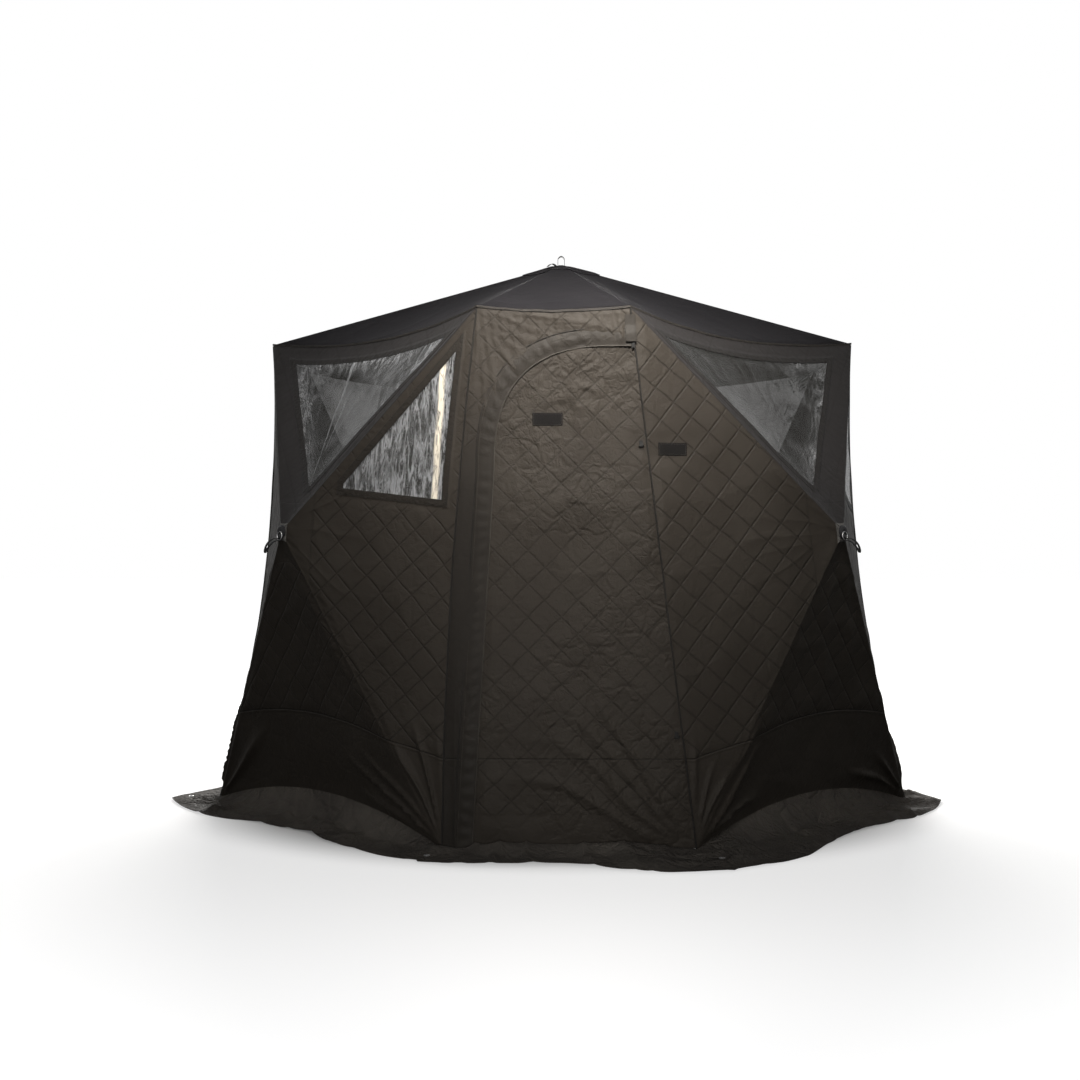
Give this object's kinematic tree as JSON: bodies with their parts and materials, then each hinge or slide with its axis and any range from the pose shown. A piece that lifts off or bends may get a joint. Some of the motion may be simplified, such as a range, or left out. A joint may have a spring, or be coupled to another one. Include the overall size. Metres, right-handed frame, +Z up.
{
  "type": "pop-up sauna tent",
  "caption": "Pop-up sauna tent with quilted walls pushed out by sprung hubs on poles, triangular film windows, an arched side-hinged door, a low roof and a ground skirt.",
  "frame": {"origin": "on the ground under the roof hub, the middle of the tent's footprint", "axes": "+Z up, -Y out through the door, +X to the right seen from in front of the door"},
  "size_m": [3.04, 2.3693, 2.148],
  "materials": {
    "quilted_polyester": "matt charcoal quilted polyester, padded",
    "roof_polyester": "smooth grey-black coated polyester",
    "plain_polyester": "plain black polyester",
    "clear_film": "clear flexible window film",
    "glass_fibre": "black glass-fibre rod with moulded ends",
    "black_nylon": "moulded black nylon",
    "steel_wire": "bright steel",
    "webbing": "black webbing",
    "zip_tape": "black zip tape",
    "heatproof_cloth": "grey silicone-coated glass cloth"
  },
  "bodies": {
    "tent": {"door_wall": "quilted_polyester", "door_zip": "zip_tape", "ground_skirt": "plain_polyester", "hook_patch_wall": "webbing", "roof_canopy": "roof_polyester", "storm_flap": "quilted_polyester", "stove_jack": "heatproof_cloth", "wall_back": "quilted_polyester", "wall_back_left": "quilted_polyester", "wall_back_right": "quilted_polyester", "wall_front_left": "quilted_polyester", "wall_front_right": "quilted_polyester", "window_back_left_side": "clear_film", "window_back_left_top": "clear_film", "window_back_right_side": "clear_film", "window_back_right_top": "clear_film", "window_front_left_side": "clear_film", "window_front_left_top": "clear_film", "window_front_right_side": "clear_film", "window_front_right_top": "clear_film"},
    "hub_roof": {"hub_roof": "black_nylon", "roof_cap": "roof_polyester", "roof_handle": "webbing"},
    "pole_roof_front_right": {"pole_roof_front_right": "glass_fibre"},
    "pole_roof_side_right": {"pole_roof_side_right": "glass_fibre"},
    "pole_roof_back_right": {"pole_roof_back_right": "glass_fibre"},
    "pole_roof_back_left": {"pole_roof_back_left": "glass_fibre"},
    "pole_roof_side_left": {"pole_roof_side_left": "glass_fibre"},
    "pole_roof_front_left": {"pole_roof_front_left": "glass_fibre"},
    "hub_front_right": {"hub_front_right": "black_nylon"},
    "pole_front_right_top_right": {"pole_front_right_top_right": "glass_fibre"},
    "pole_front_right_top_left": {"pole_front_right_top_left": "glass_fibre"},
    "pole_front_right_bottom_left": {"pole_front_right_bottom_left": "glass_fibre"},
    "pole_front_right_bottom_right": {"pole_front_right_bottom_right": "glass_fibre"},
    "pull_loop_front_right": {"pull_loop_front_right": "steel_wire"},
    "hub_back_right": {"hub_back_right": "black_nylon"},
    "pole_back_right_top_right": {"pole_back_right_top_right": "glass_fibre"},
    "pole_back_right_top_left": {"pole_back_right_top_left": "glass_fibre"},
    "pole_back_right_bottom_left": {"pole_back_right_bottom_left": "glass_fibre"},
    "pole_back_right_bottom_right": {"pole_back_right_bottom_right": "glass_fibre"},
    "pull_loop_back_right": {"pull_loop_back_right": "steel_wire"},
    "hub_back_left": {"hub_back_left": "black_nylon"},
    "pole_back_left_top_right": {"pole_back_left_top_right": "glass_fibre"},
    "pole_back_left_top_left": {"pole_back_left_top_left": "glass_fibre"},
    "pole_back_left_bottom_left": {"pole_back_left_bottom_left": "glass_fibre"},
    "pole_back_left_bottom_right": {"pole_back_left_bottom_right": "glass_fibre"},
    "pull_loop_back_left": {"pull_loop_back_left": "steel_wire"},
    "hub_front_left": {"hub_front_left": "black_nylon"},
    "pole_front_left_top_right": {"pole_front_left_top_right": "glass_fibre"},
    "pole_front_left_top_left": {"pole_front_left_top_left": "glass_fibre"},
    "pole_front_left_bottom_left": {"pole_front_left_bottom_left": "glass_fibre"},
    "pole_front_left_bottom_right": {"pole_front_left_bottom_right": "glass_fibre"},
    "pull_loop_front_left": {"pull_loop_front_left": "steel_wire"},
    "door": {"door": "quilted_polyester", "hook_patch_door": "webbing"},
    "toggle_upper": {"toggle_upper": "webbing"},
    "toggle_lower": {"toggle_lower": "webbing"},
    "zip_slider": {"zip_slider": "steel_wire"},
    "jack_flap": {"jack_flap": "quilted_polyester"}
  },
  "joints": [
    {"name": "roof_pop", "type": "slide", "parent": "tent", "child": "hub_roof", "axis": [0, 0, 1], "range_m": [-0.506, 0], "deforming": ["roof_canopy", "roof_cap"]},
    {"name": "roof_front_right_pivot", "type": "hinge", "parent": "hub_roof", "child": "pole_roof_front_right", "pos_m": [0.01439, -0.05618, 2.062], "axis": [-0.9691, -0.2467, 0], "range_deg": [0, 35.61]},
    {"name": "roof_side_right_pivot", "type": "hinge", "parent": "hub_roof", "child": "pole_roof_side_right", "pos_m": [0.058, 0, 2.062], "axis": [0, -1, 0], "range_deg": [0, 28.05]},
    {"name": "roof_back_right_pivot", "type": "hinge", "parent": "hub_roof", "child": "pole_roof_back_right", "pos_m": [0.01593, 0.05577, 2.062], "axis": [0.9619, -0.2732, 0], "range_deg": [0, 35.32]},
    {"name": "roof_back_left_pivot", "type": "hinge", "parent": "hub_roof", "child": "pole_roof_back_left", "pos_m": [-0.01593, 0.05577, 2.062], "axis": [0.9619, 0.2732, 0], "range_deg": [0, 35.32]},
    {"name": "roof_side_left_pivot", "type": "hinge", "parent": "hub_roof", "child": "pole_roof_side_left", "pos_m": [-0.058, 0, 2.062], "axis": [0, 1, 0], "range_deg": [0, 28.05]},
    {"name": "roof_front_left_pivot", "type": "hinge", "parent": "hub_roof", "child": "pole_roof_front_left", "pos_m": [-0.01742, -0.05532, 2.062], "axis": [-0.9542, 0.2991, 0], "range_deg": [0, 35.01]},
    {"name": "front_right_pop", "type": "slide", "parent": "tent", "child": "hub_front_right", "axis": [0.698, -0.7109, 0.0866], "range_m": [-0.5382, 0], "deforming": ["wall_front_right", "window_front_right_top", "window_front_right_side", "door_wall"]},
    {"name": "front_right_top_right_pivot", "type": "hinge", "parent": "hub_front_right", "child": "pole_front_right_top_right", "pos_m": [0.94559, -0.66005, 1.07987], "axis": [0.5942, 0.5073, -0.6242], "range_deg": [0, 33.74]},
    {"name": "front_right_top_left_pivot", "type": "hinge", "parent": "hub_front_right", "child": "pole_front_right_top_left", "pos_m": [0.91304, -0.69207, 1.07944], "axis": [0.5079, 0.5767, 0.6399], "range_deg": [0, 33.08]},
    {"name": "front_right_bottom_left_pivot", "type": "hinge", "parent": "hub_front_right", "child": "pole_front_right_bottom_left", "pos_m": [0.92186, -0.69068, 1.01972], "axis": [-0.6678, -0.6024, 0.4372], "range_deg": [0, 29.1]},
    {"name": "front_right_bottom_right_pivot", "type": "hinge", "parent": "hub_front_right", "child": "pole_front_right_bottom_right", "pos_m": [0.94842, -0.66416, 1.02331], "axis": [-0.5337, -0.597, -0.599], "range_deg": [0, 25.66]},
    {"name": "front_right_pull_swing", "type": "hinge", "parent": "hub_front_right", "child": "pull_loop_front_right", "pos_m": [0.96833, -0.71541, 1.05654], "axis": [-0.7136, -0.7006, 0], "range_deg": [0, 150]},
    {"name": "back_right_pop", "type": "slide", "parent": "tent", "child": "hub_back_right", "axis": [0.6985, 0.7115, 0.0766], "range_m": [-0.5356, 0], "deforming": ["wall_back_right", "window_back_right_top", "window_back_right_side", "wall_back"]},
    {"name": "back_right_top_right_pivot", "type": "hinge", "parent": "hub_back_right", "child": "pole_back_right_top_right", "pos_m": [0.91341, 0.692, 1.08019], "axis": [-0.5179, 0.5765, -0.632], "range_deg": [0, 33.56]},
    {"name": "back_right_top_left_pivot", "type": "hinge", "parent": "hub_back_right", "child": "pole_back_right_top_left", "pos_m": [0.94581, 0.66018, 1.08032], "axis": [-0.5889, 0.5108, 0.6263], "range_deg": [0, 33.58]},
    {"name": "back_right_bottom_left_pivot", "type": "hinge", "parent": "hub_back_right", "child": "pole_back_right_bottom_left", "pos_m": [0.94817, 0.66396, 1.02373], "axis": [0.5386, -0.5932, 0.5983], "range_deg": [0, 25.53]},
    {"name": "back_right_bottom_right_pivot", "type": "hinge", "parent": "hub_back_right", "child": "pole_back_right_bottom_right", "pos_m": [0.92127, 0.69072, 1.02039], "axis": [0.6609, -0.6005, -0.45], "range_deg": [0, 28.64]},
    {"name": "back_right_pull_swing", "type": "hinge", "parent": "hub_back_right", "child": "pull_loop_back_right", "pos_m": [0.96833, 0.71541, 1.05648], "axis": [0.7136, -0.7006, 0], "range_deg": [0, 150]},
    {"name": "back_left_pop", "type": "slide", "parent": "tent", "child": "hub_back_left", "axis": [-0.6985, 0.7115, 0.0766], "range_m": [-0.5356, 0], "deforming": ["wall_back_left", "window_back_left_top", "window_back_left_side"]},
    {"name": "back_left_top_right_pivot", "type": "hinge", "parent": "hub_back_left", "child": "pole_back_left_top_right", "pos_m": [-0.94581, 0.66018, 1.08032], "axis": [-0.5889, -0.5108, -0.6263], "range_deg": [0, 33.58]},
    {"name": "back_left_top_left_pivot", "type": "hinge", "parent": "hub_back_left", "child": "pole_back_left_top_left", "pos_m": [-0.91341, 0.692, 1.08019], "axis": [-0.5179, -0.5765, 0.632], "range_deg": [0, 33.56]},
    {"name": "back_left_bottom_left_pivot", "type": "hinge", "parent": "hub_back_left", "child": "pole_back_left_bottom_left", "pos_m": [-0.92127, 0.69072, 1.02039], "axis": [0.6609, 0.6005, 0.45], "range_deg": [0, 28.64]},
    {"name": "back_left_bottom_right_pivot", "type": "hinge", "parent": "hub_back_left", "child": "pole_back_left_bottom_right", "pos_m": [-0.94817, 0.66396, 1.02373], "axis": [0.5386, 0.5932, -0.5983], "range_deg": [0, 25.53]},
    {"name": "back_left_pull_swing", "type": "hinge", "parent": "hub_back_left", "child": "pull_loop_back_left", "pos_m": [-0.96833, 0.71541, 1.05648], "axis": [0.7136, 0.7006, 0], "range_deg": [0, 150]},
    {"name": "front_left_pop", "type": "slide", "parent": "tent", "child": "hub_front_left", "axis": [-0.6991, -0.712, 0.0665], "range_m": [-0.533, 0], "deforming": ["wall_front_left", "window_front_left_top", "window_front_left_side"]},
    {"name": "front_left_top_right_pivot", "type": "hinge", "parent": "hub_front_left", "child": "pole_front_left_top_right", "pos_m": [-0.91381, -0.69194, 1.08095], "axis": [0.5281, -0.5767, -0.6233], "range_deg": [0, 34.06]},
    {"name": "front_left_top_left_pivot", "type": "hinge", "parent": "hub_front_left", "child": "pole_front_left_top_left", "pos_m": [-0.94603, -0.66032, 1.08077], "axis": [0.5836, -0.5143, 0.6284], "range_deg": [0, 33.42]},
    {"name": "front_left_bottom_left_pivot", "type": "hinge", "parent": "hub_front_left", "child": "pole_front_left_bottom_left", "pos_m": [-0.94791, -0.66376, 1.02415], "axis": [-0.5435, 0.5895, 0.5976], "range_deg": [0, 25.4]},
    {"name": "front_left_bottom_right_pivot", "type": "hinge", "parent": "hub_front_left", "child": "pole_front_left_bottom_right", "pos_m": [-0.9207, -0.69076, 1.02106], "axis": [-0.6539, 0.5989, -0.4623], "range_deg": [0, 28.18]},
    {"name": "front_left_pull_swing", "type": "hinge", "parent": "hub_front_left", "child": "pull_loop_front_left", "pos_m": [-0.96833, -0.71541, 1.05641], "axis": [-0.7135, 0.7006, 0], "range_deg": [0, 150]},
    {"name": "door_swing", "type": "hinge", "parent": "tent", "child": "door", "pos_m": [0.445, -0.9, 0.006], "axis": [-0.1206, 0.0077, 0.9927], "range_deg": [0, 135]},
    {"name": "toggle_upper_swing", "type": "hinge", "parent": "door", "child": "toggle_upper", "pos_m": [0.26244, -0.8895, 1.352], "axis": [0, -1, 0.0078], "range_deg": [-20, 20]},
    {"name": "toggle_lower_swing", "type": "hinge", "parent": "door", "child": "toggle_lower", "pos_m": [0.37897, -0.89698, 0.393], "axis": [0, -1, 0.0078], "range_deg": [-20, 20]},
    {"name": "zip_slide", "type": "slide", "parent": "tent", "child": "zip_slider", "axis": [0.0574, 0.0078, 0.9983], "range_m": [-0.2, 0.9]},
    {"name": "jack_flap_lift", "type": "hinge", "parent": "tent", "child": "jack_flap", "pos_m": [0, 0.89325, 1.52504], "axis": [1, 0, 0], "range_deg": [0, 120]}
  ],
  "couplings": [
    {"joint": "roof_front_right_pivot", "follows": "roof_pop", "rad_per_m": -1.2282},
    {"joint": "roof_side_right_pivot", "follows": "roof_pop", "rad_per_m": -0.96752},
    {"joint": "roof_back_right_pivot", "follows": "roof_pop", "rad_per_m": -1.2183},
    {"joint": "roof_back_left_pivot", "follows": "roof_pop", "rad_per_m": -1.2183},
    {"joint": "roof_side_left_pivot", "follows": "roof_pop", "rad_per_m": -0.96752},
    {"joint": "roof_front_left_pivot", "follows": "roof_pop", "rad_per_m": -1.2076},
    {"joint": "front_right_top_right_pivot", "follows": "front_right_pop", "rad_per_m": -1.094},
    {"joint": "front_right_top_left_pivot", "follows": "front_right_pop", "rad_per_m": -1.0727},
    {"joint": "front_right_bottom_left_pivot", "follows": "front_right_pop", "rad_per_m": -0.94351},
    {"joint": "front_right_bottom_right_pivot", "follows": "front_right_pop", "rad_per_m": -0.8321},
    {"joint": "back_right_top_right_pivot", "follows": "back_right_pop", "rad_per_m": -1.0937},
    {"joint": "back_right_top_left_pivot", "follows": "back_right_pop", "rad_per_m": -1.0941},
    {"joint": "back_right_bottom_left_pivot", "follows": "back_right_pop", "rad_per_m": -0.83181},
    {"joint": "back_right_bottom_right_pivot", "follows": "back_right_pop", "rad_per_m": -0.93323},
    {"joint": "back_left_top_right_pivot", "follows": "back_left_pop", "rad_per_m": -1.0941},
    {"joint": "back_left_top_left_pivot", "follows": "back_left_pop", "rad_per_m": -1.0937},
    {"joint": "back_left_bottom_left_pivot", "follows": "back_left_pop", "rad_per_m": -0.93323},
    {"joint": "back_left_bottom_right_pivot", "follows": "back_left_pop", "rad_per_m": -0.83181},
    {"joint": "front_left_top_right_pivot", "follows": "front_left_pop", "rad_per_m": -1.1151},
    {"joint": "front_left_top_left_pivot", "follows": "front_left_pop", "rad_per_m": -1.0944},
    {"joint": "front_left_bottom_left_pivot", "follows": "front_left_pop", "rad_per_m": -0.83157},
    {"joint": "front_left_bottom_right_pivot", "follows": "front_left_pop", "rad_per_m": -0.92285}
  ]
}
